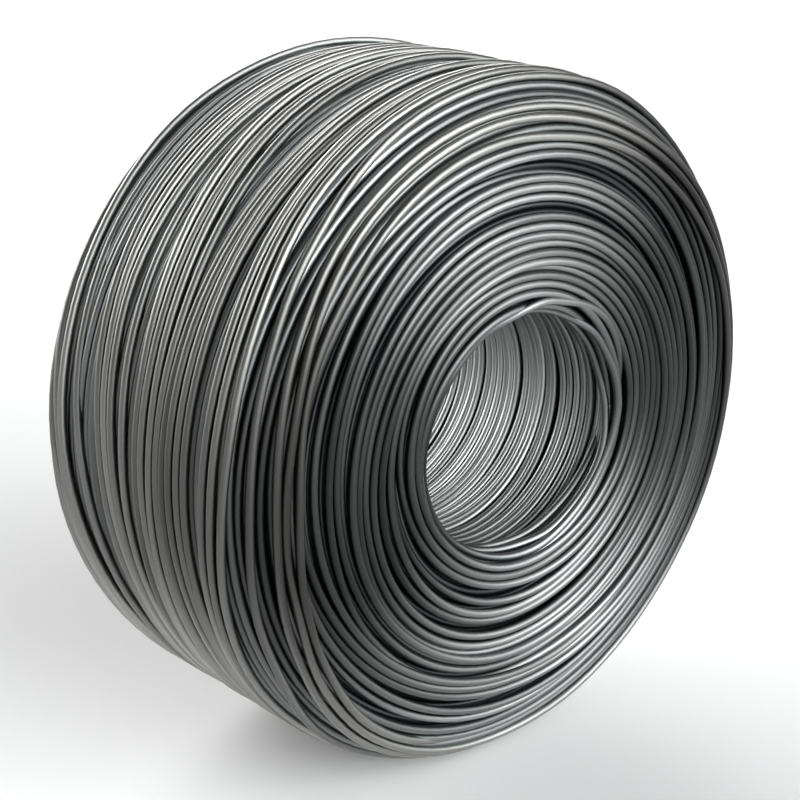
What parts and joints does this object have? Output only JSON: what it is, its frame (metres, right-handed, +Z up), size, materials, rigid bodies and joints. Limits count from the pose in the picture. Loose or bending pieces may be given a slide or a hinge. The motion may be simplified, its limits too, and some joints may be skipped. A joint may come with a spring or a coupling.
{
  "type": "coil of steel wire rod",
  "caption": "Free-standing round coil of bright steel wire rod with an open bore, domed ends and a straight outer surface, standing on its rim.",
  "frame": {"origin": "on the floor under the middle of the coil, which stands on its rim", "axes": "+Y along the coil's axis, through the bore; +Z up; +X across the coil"},
  "size_m": [0.45, 0.22, 0.45],
  "materials": {
    "bright_steel": "bright smooth wire, lightly dulled, dark between the turns"
  },
  "bodies": {
    "root": {"wire_coil": "bright_steel"}
  },
  "joints": []
}
